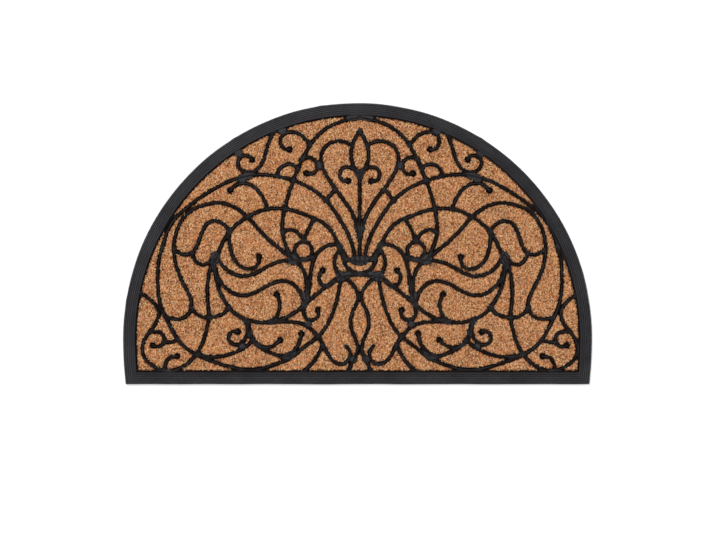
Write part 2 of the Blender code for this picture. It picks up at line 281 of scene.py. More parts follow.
def rim_offset(edge):
    """How far the rim strays outwards at each point of the edge: a slow waver and the mould's flash."""
    stray = RIM_WAVER * smooth_noise(edge, RIM_WAVER_GRAIN)
    for degrees, wide, out in RIM_FLASH:
        turn = math.radians(degrees)
        place = np.array([math.cos(turn), math.sin(turn)]) * ARC_RADIUS + (0, ARC_CENTRE_Y)
        away = np.linalg.norm(edge - place, axis=1) / (wide * MM)
        stray += out * MM * np.exp(-(away**2))
    return stray


def quads_between(rows, row_length, closed_rows, closed_columns):
    """Faces that join each row of points to the next. Rows and columns may be closed on themselves."""
    row = np.arange(rows if closed_columns else rows - 1)[:, None]
    column = np.arange(row_length if closed_rows else row_length - 1)[None, :]
    next_row, next_column = (row + 1) % rows, (column + 1) % row_length
    corners = [(row, column), (next_row, column), (next_row, next_column), (row, next_column)]
    return np.stack([(a * row_length + b).ravel() for a, b in corners], axis=1)


def new_piece(name, points, faces, material, sharp_degrees=180, bloom_and_sheen=None):
    """A smooth mesh object with one material, creased where it bends by more than the sharp degrees.
    All the faces have the same number of corners."""
    mesh = bpy.data.meshes.new(name)
    mesh.vertices.add(len(points))
    mesh.vertices.foreach_set("co", points.astype(np.float32).ravel())
    mesh.loops.add(faces.size)
    mesh.loops.foreach_set("vertex_index", faces.astype(np.int32).ravel())
    mesh.polygons.add(len(faces))
    starts = np.arange(0, faces.size, faces.shape[1], dtype=np.int32)
    mesh.polygons.foreach_set("loop_start", starts)
    mesh.update(calc_edges=True)
    mesh.shade_smooth()
    mesh.set_sharp_from_angle(angle=math.radians(sharp_degrees))
    if bloom_and_sheen is not None:
        layer = mesh.attributes.new("bloom_and_sheen", "FLOAT", "POINT")
        layer.data.foreach_set("value", bloom_and_sheen.astype(np.float32).ravel())
    mesh.materials.append(material)
    piece = bpy.data.objects.new(name, mesh)
    bpy.context.collection.objects.link(piece)
    return piece


def close_holes(piece):
    """Fills each open end of a mesh with one face and turns all its faces outwards."""
    bm = bmesh.new()
    bm.from_mesh(piece.data)
    bmesh.ops.holes_fill(bm, edges=[edge for edge in bm.edges if edge.is_boundary])
    bmesh.ops.recalc_face_normals(bm, faces=bm.faces)
    bm.to_mesh(piece.data)
    bm.free()


def border_and_backing(material):
    """The border's profile carried round the mat's edge and closed by the backing's two faces."""
    edge = mat_edge()
    step_in = inward(edge)
    profile = border_profile()
    fade = np.clip(1 - profile[:, 0] / (RIB_PITCH * RIB_COUNT), 0, 1)
    inset = profile[None, :, 0] - rim_offset(edge)[:, None] * fade[None, :]
    plan = edge[:, None, :] + step_in[:, None, :] * inset[:, :, None]
    height = np.broadcast_to(profile[None, :, 1:2], (*inset.shape, 1))
    points = np.concatenate([plan, height], axis=2).reshape(-1, 3)
    faces = quads_between(len(edge), len(profile), False, True)
    bloom_and_sheen = np.broadcast_to(profile[:, 2], inset.shape)
    piece = new_piece("rubber_backing", points, faces, material, BORDER_SHARP_DEGREES, bloom_and_sheen)
    close_holes(piece)
    return piece


rubber = moulded_rubber()
backing = border_and_backing(rubber)
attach(backing, "root")
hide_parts("rubber_moulding")


# The scrollwork
# Rounded ridges stand up from the backing in the manner of wrought iron, in the same moulding and
# rubber. Each bar is swept along its route with a rounded nose at both ends, and a free end that
# curls in closes with a round bulb. The left half mirrors the right.

# A bar runs smoothly through its points, in mm from the mirror line and from the straight edge.
# Its curl, if it has one, is wound on from the last point: (first radius, last radius, turn in
# degrees), with a turn to the left counted positive.
# name, points, curl, bulb
BARS = [
    ("petal", [(0, 405), (10, 387), (14, 367), (10, 349), (0, 334)], None, False),
    ("side_petal", [(12, 381), (24, 387.5), (38, 388), (51, 383), (60, 371), (61, 351), (51, 330),
        (38, 311), (24, 292), (11, 270.5), (5, 253), (1.5, 236)], None, False),
    ("petal_curl", [(1, 331), (7, 342), (16, 346.5)], (13, 9.5, -215), True),
    ("tall_arch", [(0, 427), (22, 422), (42, 415), (60, 404), (78, 384), (94, 354), (104, 331),
        (113, 306), (120, 280), (123.5, 250), (119, 224), (106, 199)], None, False),
    ("arch_curl", [(95, 358), (88, 361.5), (81, 362)], (14.5, 11, 205), True),
    ("fan_strut", [(39, 312), (55, 293)], None, False),
    ("loop_over", [(7, 194), (8.5, 206), (15, 231), (34, 267), (56, 296), (88, 318), (125, 331),
        (162, 335), (204, 326), (243, 306), (278, 280.5), (300, 258), (315, 220)], None, False),
    ("loop_under", [(315, 220), (321, 198), (322.5, 175), (322, 150), (316, 121), (303, 93),
        (283, 63), (260, 47), (230, 35), (200, 26.5), (168, 24), (132, 33), (110, 43), (88, 60),
        (65, 78), (50, 99), (38, 130), (30, 172)], None, False),
    ("inner_arch", [(19, 200), (34, 225), (50, 250.5), (65, 262), (82, 269), (101, 276),
        (122, 280.5), (150, 279.5), (180, 267), (208, 244), (221, 222), (231, 196)], None, False),
    ("ring_strut", [(73, 264), (82, 248), (89, 230)], None, False),
    ("ring_arch", [(90, 230), (99, 242), (110, 247), (123, 243)], None, False),
    ("top_curl", [(79, 382), (88, 393), (99, 401), (111, 403)], (16.5, 11, -195), True),
    ("border_scroll", [(136, 406), (147, 381), (152.5, 362), (160.5, 347), (172, 339), (184, 340)
        ], (14.5, 10, 235), True),
    ("small_arch", [(99, 344), (108, 351), (118, 351), (127, 345), (132, 333)], None, False),
    ("loop_hook", [(147, 281), (154, 297), (164, 311), (178, 320), (194, 320), (207, 310)], None, True),
    ("shoulder", [(108, 200), (126, 215), (145, 231), (159, 245), (178, 266), (197, 281),
        (220, 289.5), (247, 287), (268, 278), (287, 257), (295.5, 232), (296, 203), (288, 175),
        (274, 146), (268.5, 127), (275, 111), (290, 104), (308, 107)], None, False),
    ("shoulder_link", [(208, 245), (219, 257), (231, 261), (243, 257), (252, 243), (258, 226),
        (268, 210), (281, 207.5), (296, 216)], None, False),
    ("shoulder_cup", [(268, 210), (262, 197), (251, 191), (241, 195), (231, 208)], None, False),
    ("leaf_hook", [(209, 245), (208, 226), (203, 205), (191, 189), (176, 184), (164, 190),
        (161, 204)], None, True),
    ("leaf_one", [(229, 206), (218, 188), (203, 177), (186, 173), (168, 177), (150, 187),
        (132, 195), (112, 198), (92, 199), (76, 201)], None, False),
    ("leaf_two", [(232, 194), (227, 172), (214, 154), (194, 143), (174, 144), (156, 153),
        (138, 162), (120, 165), (104, 158), (94, 145), (88, 128)], None, False),
    ("leaf_three", [(233, 190), (227, 158), (215, 132), (200, 114), (180, 103), (158, 99),
        (136, 101), (114, 109), (98, 119), (88, 127)], None, False),
    ("leaf_vein", [(144, 100), (134, 107), (129, 119), (128, 132), (133, 144)], None, True),
    ("tail", [(140, 100), (114, 100), (93, 97), (78, 88), (66, 75), (57, 60), (48, 44), (35, 33),
        (23, 34.5), (16, 44), (16.5, 54), (22, 61)], None, False),
    ("vein", [(33, 224), (46, 223), (60, 217), (70, 206), (76, 190), (79, 168), (82, 148),
        (88, 130), (89.5, 115)], (12.5, 11, -205), True),
    ("vein_side", [(103, 198), (93, 187), (87, 174), (85, 158), (86, 138)], None, False),
    ("low_leaf", [(182, 102), (177, 92), (175, 80), (167, 67), (154, 56), (139, 49), (122, 45),
        (104, 48)], None, False),
    ("low_vein_one", [(124, 43), (109, 51), (98, 64), (93, 81)], None, True),
    ("low_vein_two", [(165, 64), (151, 59), (138, 62), (127, 71)], None, True),
    ("vine_curl", [(183, 103), (179, 90), (181, 76), (190, 66)], (12.5, 9.5, 245), True),
    ("vine", [(169, 72), (180, 62), (195, 53), (212, 47), (232, 44), (259, 48)], None, False),
    ("trunk", [(232, 200), (240, 180), (243, 158), (243, 132), (241, 110), (245, 86), (252, 64),
        (262, 47), (274, 34), (290, 25), (308, 19)], None, False),
    ("swag", [(208, 124), (218, 113), (232, 108), (248, 107), (261, 113), (270, 124)], None, False),
    ("corner_vine", [(352, 147), (338, 138), (326, 126), (321, 115), (324, 101), (331, 90),
        (341, 77), (347, 60), (344, 43), (335, 33), (321, 25), (303, 19)], None, False),
    ("corner_curl", [(334, 84), (324, 84)], (12.5, 11, 215), True),
    ("corner_link", [(290, 72), (300, 68), (313, 67.5)], None, False),
    ("corner_hook", [(311, 21), (310, 33), (303, 42.5), (292, 45)], None, True),
    ("clasp_bowl", [(33, 222), (27, 204), (21, 188), (11, 180), (-1, 177)], None, False),
    ("clasp_leaf", [(31, 217), (38, 206), (40.5, 195), (38, 184), (29, 172)], None, False),
    ("clasp_foot", [(31, 172), (15, 174), (-1, 176)], None, False),
    ("clasp_rim", [(25, 203), (12, 198), (-1, 196)], None, False),
    ("clasp_stay", [(33, 172), (44.5, 163), (64, 148), (88, 128)], None, False),
    ("clasp_curl", [(42, 164), (49, 158), (57, 158), (63, 163), (65.5, 171), (59.5, 182)], None, True),
    ("waist", [(27, 172), (13, 161), (4, 148), (3.5, 134), (11, 117), (14.5, 98), (10, 80),
        (3.5, 62), (5, 48), (13, 33), (19, 17)], None, False),
    ("base_leg", [(59, 63), (64, 52), (71, 40), (81, 29), (95, 17)], None, False),
]
STEM = [(0, 340), (0, 194)]
RING = (90, 213.5, 14)
MIRROR_LINE = 3.5 * MM

FINE_STEP = 1 * MM
STATION_STEP = 2.4 * MM
RIDGE_HALF_WIDTH = 2.3 * MM
RIDGE_FOOT = 5.6 * MM
RIDGE_SHOULDER = 8.0 * MM
SHOULDER_HALF_WIDTH = 1.8 * MM
RIDGE_TOP = 10.4 * MM
SECTION_STEPS = 8
SECTION_FULLNESS = 0.95
NOSE_ANGLES = (35, 62, 82)
CREST_WAVER = 0.15 * MM
CREST_WAVER_GRAIN = 7 * MM
# How grey a ridge's crest is, between these heights: partly wear, partly a painted sheen along the top,
# which faces the light. The walls below stay black as painted shade.
CREST_BLOOM_AND_SHEEN = 0.65
CREST_SHEEN_HEIGHTS = (10.2 * MM, 10.4 * MM)
# Between these insets a ridge sinks into the border, by this share of its height
SINKING = (17 * MM, 20.5 * MM)
SUNK_SHARE = 0.5
RIDGE_SHARP_DEGREES = 60
BULB_RADIUS = 4.6 * MM
BULB_SIDES = 20


def smooth_curve(points):
    """Points a fine step apart along the natural cubic spline through the given ones."""
    given = np.array(points, float) * MM
    if len(given) == 2:
        count = max(2, round(np.linalg.norm(given[1] - given[0]) / FINE_STEP))
        return given[0] + np.linspace(0, 1, count)[:, None] * (given[1] - given[0])
    span = np.linalg.norm(np.diff(given, axis=0), axis=1)
    slope = np.diff(given, axis=0) / span[:, None]
    inner = len(given) - 2
    matrix = np.zeros((inner, inner))
    for i in range(inner):
        matrix[i, i] = 2 * (span[i] + span[i + 1])
        if i:
            matrix[i, i - 1] = matrix[i - 1, i] = span[i]
    bend = np.zeros_like(given)
    bend[1:-1] = np.linalg.solve(matrix, 6 * np.diff(slope, axis=0))
    line = []
    for i, length in enumerate(span):
        t = np.arange(0, length, FINE_STEP)[:, None]
        heading = slope[i] - length * (2 * bend[i] + bend[i + 1]) / 6
        bending = bend[i] / 2 + t * (bend[i + 1] - bend[i]) / (6 * length)
        line.append(given[i] + t * (heading + t * bending))
    return np.vstack([*line, given[-1:]])


def wind_on(line, first_radius, last_radius, turn):
    """The line with a curl wound on from its end, in the direction that it arrives in."""
    heading = math.atan2(*(line[-1] - line[-2])[::-1])
    mean_radius = (first_radius + last_radius) / 2 * MM
    steps = round(math.radians(abs(turn)) * mean_radius / FINE_STEP)
    point, curl = line[-1], []
    for i in range(steps):
        heading += math.radians(turn) / steps
        radius = (first_radius + (last_radius - first_radius) * i / steps) * MM
        step = math.radians(abs(turn)) / steps * radius
        point = point + step * np.array([math.cos(heading), math.sin(heading)])
        curl.append(point)
    return np.vstack([line, curl])


def on_mat(points, side):
    """Points of the tables in the mat's own frame, on the right half for side 1 and the left for -1."""
    return np.array(points) * (side, 1) + (MIRROR_LINE, STRAIGHT_EDGE_Y)


def ring_line():
    """The small ring of the right half as a closed line."""
    x, y, radius = [value * MM for value in RING]
    turns = np.arange(0, math.tau, FINE_STEP / radius)
    return np.stack([x + radius * np.cos(turns), y + radius * np.sin(turns)], axis=1)


def scroll_lines():
    """The centre line of every ridge of both halves, and whether it is closed and ends in a bulb."""
    lines = []
    for name, points, curl, bulb in BARS:
        line = smooth_curve(points)
        if curl:
            line = wind_on(line, *curl)
        lines += [(on_mat(line, side), False, bulb) for side in (1, -1)]
    lines += [(on_mat(ring_line(), side), True, False) for side in (1, -1)]
    return [*lines, (on_mat(smooth_curve(STEM), 1), False, False)]


def evenly(line, step, closed):
    """A line's points again, evenly spaced by about one step."""
    if closed:
        line = np.vstack([line, line[:1]])
    along = np.concatenate([[0], np.cumsum(np.linalg.norm(np.diff(line, axis=0), axis=1))])
    at = np.linspace(0, along[-1], max(3, round(along[-1] / step) + 1))
    spaced = np.stack([np.interp(at, along, line[:, axis]) for axis in (0, 1)], axis=1)
    return spaced[:-1] if closed else spaced


def ridge_section():
    """Half round over leaning walls: distances from the centre line and heights, left foot to right."""
    turn = np.linspace(0, math.pi, SECTION_STEPS + 1)
    across = -np.sign(np.cos(turn)) * np.abs(np.cos(turn)) ** SECTION_FULLNESS * SHOULDER_HALF_WIDTH
    rise = np.sin(turn) ** SECTION_FULLNESS
    height = RIDGE_SHOULDER + (RIDGE_TOP - RIDGE_SHOULDER) * rise
    across = np.concatenate([[-RIDGE_HALF_WIDTH], across, [RIDGE_HALF_WIDTH]])
    return across, np.concatenate([[RIDGE_FOOT], height, [RIDGE_FOOT]])


def with_noses(line):
    """A line lengthened by a rounded nose at each end, and how wide the ridge is at each station."""
    nose = np.radians(NOSE_ANGLES)
    reach, narrow = np.sin(nose)[:, None] * RIDGE_HALF_WIDTH, np.cos(nose)
    back = (line[0] - line[1]) / np.linalg.norm(line[0] - line[1])
    on = (line[-1] - line[-2]) / np.linalg.norm(line[-1] - line[-2])
    points = np.vstack([(line[0] + back * reach)[::-1], line, line[-1] + on * reach])
    return points, np.concatenate([narrow[::-1], np.ones(len(line)), narrow])


def ramp(values, low, high):
    """0 below low, 1 above high, and a smooth climb between them."""
    t = np.clip((values - low) / (high - low), 0, 1)
    return t * t * (3 - 2 * t)


def inset_of(points):
    """How far points lie inside the mat's outer edge."""
    x, y = np.abs(points[..., 0]), points[..., 1]
    down = np.clip((ARC_CENTRE_Y - y) / SIDE_HEIGHT, 0, 1)
    beside = ARC_RADIUS - SIDE_LEAN * down**2 - x
    under_arc = ARC_RADIUS - np.hypot(x, y - ARC_CENTRE_Y)
    return np.minimum(np.where(y > ARC_CENTRE_Y, under_arc, beside), y - STRAIGHT_EDGE_Y)


def swept_ridge(line, closed):
    """Points and faces of one ridge along a line. It sinks where it runs into the border."""
    stations = evenly(line, STATION_STEP, closed)
    wide = np.ones(len(stations))
    if closed:
        ahead = np.roll(stations, -1, axis=0) - np.roll(stations, 1, axis=0)
    else:
        stations, wide = with_noses(stations)
        ahead = np.gradient(stations, axis=0)
    ahead /= np.linalg.norm(ahead, axis=1)[:, None]
    left = np.stack([-ahead[:, 1], ahead[:, 0]], axis=1)
    across, height = ridge_section()
    plan = stations[:, None, :] - left[:, None, :] * (wide[:, None] * across[None, :])[:, :, None]
    waver = CREST_WAVER * smooth_noise(stations, CREST_WAVER_GRAIN)
    stature = np.sqrt(wide) * (1 + waver / (RIDGE_TOP - RIDGE_FOOT))
    stature *= 1 - SUNK_SHARE * (1 - ramp(inset_of(stations), *SINKING))
    lift = stature[:, None] * (height - RIDGE_FOOT)[None, :]
    points = np.concatenate([plan, RIDGE_FOOT + lift[:, :, None]], axis=2).reshape(-1, 3)
    return points, quads_between(len(stations), len(across), True, closed)


def bulb(centre):
    """Points and faces of the round bulb at a ridge's free end."""
    across, height = ridge_section()
    half = len(across) // 2
    radius, height = -across[:half] * BULB_RADIUS / RIDGE_HALF_WIDTH, height[:half]
    turn = np.arange(BULB_SIDES)[:, None] * math.tau / BULB_SIDES
    x = centre[0] + radius * np.cos(turn)
    y = centre[1] + radius * np.sin(turn)
    points = np.stack([x, y, np.broadcast_to(height, x.shape)], axis=2).reshape(-1, 3)
    return points, quads_between(BULB_SIDES, half, False, True)


def scrollwork(lines, material):
    """All the ridges and bulbs as one mesh."""
    parts = [swept_ridge(line, closed) for line, closed, has_bulb in lines]
    parts += [bulb(line[-1]) for line, closed, has_bulb in lines if has_bulb]
    points, faces, count = [], [], 0
    for part_points, part_faces in parts:
        points.append(part_points)
        faces.append(part_faces + count)
        count += len(part_points)
    points = np.vstack(points)
    faces = np.vstack(faces)
    # The crest is painted grey as wear and sheen, and the walls stay black as painted shade
    bloom_and_sheen = CREST_BLOOM_AND_SHEEN * ramp(points[:, 2], *CREST_SHEEN_HEIGHTS)
    piece = new_piece("rubber_scrollwork", points, faces, material, RIDGE_SHARP_DEGREES, bloom_and_sheen)
    close_holes(piece)
    return piece


lines = scroll_lines()
ridges = scrollwork(lines, rubber)
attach(ridges, "root")


# The webs between bars
# Where bars meet or run close together, the mould leaves the corner between them full, so a lower
# web of the same rubber rounds it off. The webs come from how near each place is to all the bars.

# x, y and radius of the larger webs, in mm in the frame of the bars
WEBS = [
    (8, 427.5, 5), (16, 426, 4.5), (124, 406, 6), (178, 334, 6.5), (188, 329, 6),
    (194, 370, 6), (64.5, 350, 5), (231, 204, 7), (107, 199, 7.5), (87, 141, 5),
    (82, 96, 4.5), (112, 45, 5), (176, 82, 4), (188, 61, 4), (10, 40, 4.5),
    (0, 198, 5.5), (9, 199, 5), (30, 172.5, 7.5), (19, 175.5, 4.5), (4, 249, 3),
]
FIELD_STEP = 0.75 * MM
FIELD_REACH = 9 * MM
BLEND = 1.3 * MM
BORDER_HALF_WIDTH = 0.5 * MM
WEB_TOP = 9.6 * MM
# How grey the webs are: bloom and painted sheen in their middle
WEB_BLOOM_AND_SHEEN = 0.75
WEB_EDGE = (1.9 * MM, 2.8 * MM)
WEB_CORNER = (0.15 * MM, 0.6 * MM)

field_low = np.array([moulding_low.x, moulding_low.y])
field_span = np.array([2 * ARC_RADIUS, moulding_high.y - moulding_low.y])
field_size = np.ceil(field_span / FIELD_STEP).astype(int) + 1


def near_line(line):
    """How far each place of the field round a line is from it, and where those places are."""
    reach = int(FIELD_REACH / FIELD_STEP)
    cell = np.round((line - field_low) / FIELD_STEP).astype(int)
    first = np.maximum(cell.min(axis=0) - reach, 0)
    last = np.minimum(cell.max(axis=0) + reach + 1, field_size)
    away = np.full(last - first, FIELD_REACH)
    offset = np.stack(np.meshgrid(*[np.arange(-reach, reach + 1)] * 2, indexing="ij"), axis=-1)
    places = (cell[:, None, :] + offset.reshape(1, -1, 2)).reshape(-1, 2)
    centres = np.repeat(line, offset.size // 2, axis=0)
    inside = ((places >= first) & (places < last)).all(axis=1)
    places, centres = places[inside], centres[inside]
    distance = np.linalg.norm(places * FIELD_STEP + field_low - centres, axis=1)
    np.minimum.at(away, tuple((places - first).T), distance)
    return away, tuple(slice(a, b) for a, b in zip(first, last))


def ridge_fields(lines):
    """Over the mat, the distance to the nearest bar's centre line, and one that dips where bars come
    together. The border and the larger webs count as wider bars."""
    grid = np.stack(np.meshgrid(*[np.arange(n) for n in field_size], indexing="ij"), axis=-1)
    from_border = inset_of(grid * FIELD_STEP + field_low) - BORDER_WIDTH + BORDER_HALF_WIDTH
    nearest = from_border.copy()
    together = np.exp(-from_border / BLEND)
    for line, closed, has_bulb in lines:
        away, there = near_line(line)
        nearest[there] = np.minimum(nearest[there], away)
        together[there] += np.exp(-away / BLEND)
        if has_bulb:
            away, there = near_line(line[-1:])
            away -= BULB_RADIUS - RIDGE_HALF_WIDTH
            nearest[there] = np.minimum(nearest[there], away)
    for x, y, radius in WEBS:
        for side in (1, -1):
            away, there = near_line(on_mat([(x * MM, y * MM)], side))
            together[there] += np.exp(-(away - radius * MM + RIDGE_HALF_WIDTH) / BLEND)
    return nearest, np.minimum(-BLEND * np.log(together), nearest)


def web_sheet(nearest, blended, material):
    """A low mesh in each corner between bars, which drops away where the corner ends."""
    in_corner = ramp(nearest - blended, *WEB_CORNER)
    inside = 1 - ramp(blended, *WEB_EDGE)
    height = RIDGE_FOOT + (WEB_TOP - RIDGE_FOOT) * in_corner * inside
    kept = (in_corner > 0) & (inside > 0) & (nearest > 0)
    faces = quads_between(*field_size, False, False)
    faces = faces[kept.ravel()[faces].any(axis=1)]
    used, faces = np.unique(faces, return_inverse=True)
    column, row = np.divmod(used, field_size[1])
    plan = np.stack([column, row], axis=1) * FIELD_STEP + field_low
    points = np.column_stack([plan, height.ravel()[used]])
    # Grey of bloom and painted sheen, fading to black as painted shade where the web drops into the
    # coir
    bloom_and_sheen = WEB_BLOOM_AND_SHEEN * (inside**2).ravel()[used]
    return new_piece("rubber_webs", points, faces.reshape(-1, 4), material, bloom_and_sheen=bloom_and_sheen)


nearest, blended = ridge_fields(lines)
webs = web_sheet(nearest, blended, rubber)
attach(webs, "root")


# The bed of coir
# Coir is the coarse brown fibre of coconut husk. It is blown short into the moulding and bonded
# there, and fills it to just above the ridges. This piece is the matted body of that layer: lumpy,
# sunk along every ridge, and the ground that the loose fibres stand in.

coir_low, coir_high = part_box("coir_pile")
BED_STEP = 1.9 * MM
BED_SPARE_ROWS = 3
BED_TOP = 9.2 * MM
BED_FLOOR = 3.3 * MM
BED_GROOVE = 5.4 * MM
BED_LUMP = 0.5 * MM
BED_SWELL = 0.3 * MM
BED_SWELL_GRAIN = 9 * MM
GROOVE_SIDES = (2.8 * MM, 3.9 * MM)

# The colour of painted shade, deep in the pile and at the fibres' roots
COIR_SHADE_COLOUR = "#260f04"
COIR_DARK = "#4a2712"
COIR_BROWN = "#8d5129"
COIR_TAN = "#cf8f5a"
COIR_PALE = "#ecc093"
# The noise values at which the matted coir is dark, pale, brown and tan
COIR_PLACES = (0.36, 0.66, 0.46, 0.55)
COIR_IOR = 1.5
COIR_ROUGHNESS = 0.9
COIR_SPECK = 2.2 * MM
# A strand is drawn thicker than the real 0.2 mm, so that it shows
COIR_STRAND = 0.5 * MM
COIR_BUMP_DEPTH = 0.5 * MM
COIR_BUMP_STRENGTH = 0.8
# Painted shade: the bed is at its darkest below the first of these heights and takes its full colour at
# the second
COIR_SHADE_HEIGHTS = (7.2 * MM, 9.8 * MM)


def coir_ground():
    """Matted coir: dull tan fibre ends and brown gaps, painted darker with depth as shade."""
    material = new_material("matted_coir")
    place = add_node(material, "ShaderNodeTexCoord").outputs["Object"]
    speck = add_node(
        material,
        "ShaderNodeTexNoise",
        {"Vector": place, "Scale": 1 / COIR_SPECK, "Detail": 4.0, "Roughness": 0.7},
    ).outputs["Fac"]
    strand = add_node(
        material,
        "ShaderNodeTexNoise",
        {"Vector": place, "Scale": 1 / COIR_STRAND, "Detail": 2.0, "Distortion": 1.5},
    ).outputs["Fac"]
    mixed = add_node(
        material,
        "ShaderNodeMath",
        {0: speck, 1: strand},
        operation="ADD",
    ).outputs["Value"]
    mean = add_node(
        material,
        "ShaderNodeMath",
        {0: mixed, 1: 2.0},
        operation="DIVIDE",
    ).outputs["Value"]
    tones = (COIR_DARK, COIR_PALE, COIR_BROWN, COIR_TAN)
    fibre = add_node(
        material,
        "ShaderNodeValToRGB",
        {"Fac": mean},
        stops=list(zip(COIR_PLACES, tones)),
    ).outputs["Color"]
    height = add_node(material, "ShaderNodeSeparateXYZ", {"Vector": place}).outputs["Z"]
    darkest, full = COIR_SHADE_HEIGHTS
    lit = add_node(
        material,
        "ShaderNodeMapRange",
        {"Value": height, "From Min": darkest, "From Max": full},
    ).outputs["Result"]
    colour = add_node(
        material,
        "ShaderNodeMix",
        {"Factor": lit, "A": linear(COIR_SHADE_COLOUR), "B": fibre},
        data_type="RGBA",
    ).outputs["Result"]
    bump = add_node(
        material,
        "ShaderNodeBump",
        {"Height": mixed, "Strength": COIR_BUMP_STRENGTH, "Distance": COIR_BUMP_DEPTH},
    ).outputs["Normal"]
    return finish_material(
        material,
        {"Base Color": colour, "Roughness": COIR_ROUGHNESS, "Normal": bump, "IOR": COIR_IOR},
    )


def look_up(field, points):
    """A field's value at each point, from the four places round it."""
    at = (points - field_low) / FIELD_STEP
    cell = np.clip(np.floor(at).astype(int), 0, field_size - 2)
    part = at - cell
    x, y = cell[:, 0], cell[:, 1]
    near = field[x, y] * (1 - part[:, 0]) + field[x + 1, y] * part[:, 0]
    far = field[x, y + 1] * (1 - part[:, 0]) + field[x + 1, y + 1] * part[:, 0]
    return near * (1 - part[:, 1]) + far * part[:, 1]


def coir_bed(blended, material):
    """A lumpy slab cut to the inside of the border and sunk along the ridges. Its outermost points
    are drawn in to the border's wall, and its sides drop from them to its floor."""
    low, high = np.array(coir_low.xy), np.array(coir_high.xy)
    count = np.ceil((high - low) / BED_STEP).astype(int) + BED_SPARE_ROWS
    grid = np.stack(np.meshgrid(*[np.arange(n) for n in count], indexing="ij"), axis=-1)
    points = (low - BED_STEP + grid * BED_STEP).reshape(-1, 2)
    inset = inset_of(points)
    outside = np.clip(BORDER_WIDTH - inset, 0, None)
    towards = np.stack([inset_of(points + step) - inset for step in np.eye(2) * FIELD_STEP], axis=1)
    towards /= np.linalg.norm(towards, axis=1)[:, None]
    points = points + towards * outside[:, None]
    faces = quads_between(*count, False, False)
    faces = faces[(inset[faces] > BORDER_WIDTH).any(axis=1)]
    used, faces = np.unique(faces, return_inverse=True)
    points = points[used]
    lumps = BED_LUMP * rng.uniform(-1, 1, len(points))
    lumps += BED_SWELL * smooth_noise(points, BED_SWELL_GRAIN)
    open_pile = ramp(look_up(blended, points), *GROOVE_SIDES)
    height = BED_GROOVE + (BED_TOP + lumps - BED_GROOVE) * open_pile
    piece = new_piece(
        "coir_bed", np.column_stack([points, height]), faces.reshape(-1, 4), material
    )
    bm = bmesh.new()
    bm.from_mesh(piece.data)
    rim = [edge for edge in bm.edges if edge.is_boundary]
    wall = bmesh.ops.extrude_edge_only(bm, edges=rim)["geom"]
    for item in wall:
        if isinstance(item, bmesh.types.BMVert):
            item.co.z = BED_FLOOR
    bm.to_mesh(piece.data)
    bm.free()
    close_holes(piece)
    return piece


bed = coir_bed(blended, coir_ground())
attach(bed, "root")
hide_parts("coir_pile")


# The coir fibres
# Cut coir stands in small tufts at the top of the pile, and each leans its own way. A fibre is a
# narrow bent blade, thicker than a real one so that it shows, in one of the husk's tones from dark
# brown to straw. The fibres of a tuft come from one batch of husk and are nearly of one tone.

TUFT_PITCH = 1.7 * MM
TUFT_FIBRES = 3
TUFT_SPREAD = 0.35 * MM
TUFT_HEIGHT = 0.4 * MM
# Degrees. The pile leans to and fro along Y more than across, by the nap's spread.
NAP_LEANS = (-90, 90)
NAP_SPREAD = 30
NAP_GRAIN = 16 * MM
FIBRE_SPREAD = 12
TUFT_RISE = (30, 70)
FIBRE_RISE = (-10, 10)
FIBRE_DROOP = 20
FIBRE_SWERVE = 25
FIBRE_LENGTH = (2.4 * MM, 4.2 * MM)
FIBRE_WIDTH = (0.5 * MM, 0.85 * MM)
FIBRE_TILT = 0.6
FIBRE_ROOT_DEPTH = 0.6 * MM
FIBRE_HIGHEST = 11.6 * MM
# How near to a ridge's centre line a fibre may root and end, and where it is painted darker as the
# ridge's shade
FIBRE_CLEAR = 3.2 * MM
FIBRE_OVERHANG = 2.3 * MM
SHADED = (3.2 * MM, 4.6 * MM)
GROOVE_SHADE = 0.35
# Tone and shade run from 0 to 1, and a fibre's root is painted darker than its tip, as shade down in
# the pile, by the shade's span
MIDDLE_TONE = 0.64
TUFT_TONE = 0.5
FIBRE_TONE = 0.14
TONE_LIMITS = (0.02, 0.98)
TONE_SPOT = 0.004
TIP_SHADE = (0.8, 1.0)
SHADE_SPAN = 0.45
FIBRE_ROUGHNESS = 0.8
# The tones of four batches of husk: of the darkest fibre, of the palest, and of three between them
TONE_PLACES = (0.0, 1.0, 0.22, 0.5, 0.78)
HUSKS = {
    "ripe": ("#351808", "#ffd79c", "#9c4a14", "#ee8c3e", "#ffb25a"),
    "rosy": ("#34170d", "#ffdab8", "#9c4a26", "#ec8958", "#ffb07e"),
    "straw": ("#331c09", "#ffe0a6", "#92541c", "#de9446", "#f8bc6c"),
    "brown": ("#2e1507", "#ffdaa8", "#904617", "#e08a44", "#feb066"),
}


def coir_fibre(husk, tones):
    """Cut coir: a stiff woody fibre, dull, painted paler at its tip than down in the pile, where the
    darkening is painted shade. The map across gives each fibre its tone, and the map upwards gives the
    painted shade along it."""
    material = new_material(f"cut_coir_fibre_{husk}")
    place = add_node(material, "ShaderNodeUVMap", uv_map="OFBake").outputs["UV"]
    axes = add_node(material, "ShaderNodeSeparateXYZ", {"Vector": place}).outputs
    tone = add_node(
        material,
        "ShaderNodeValToRGB",
        {"Fac": axes["X"]},
        stops=list(zip(TONE_PLACES, tones)),
    ).outputs["Color"]
    shade = add_node(
        material,
        "ShaderNodeMix",
        {"Factor": axes["Y"], "A": linear(COIR_SHADE_COLOUR), "B": tone},
        data_type="RGBA",
    ).outputs["Result"]
    return finish_material(
        material,
        {"Base Color": shade, "Roughness": FIBRE_ROUGHNESS, "IOR": COIR_IOR},
    )


def between(limits, count):
    """Random values between two limits."""
    return rng.uniform(*limits, count)


def pointing(turn, rise):
    """Unit steps that point along a turn on the plane and a rise above it."""
    flat = np.cos(rise)
    return np.stack([np.cos(turn) * flat, np.sin(turn) * flat, np.sin(rise)], axis=1)


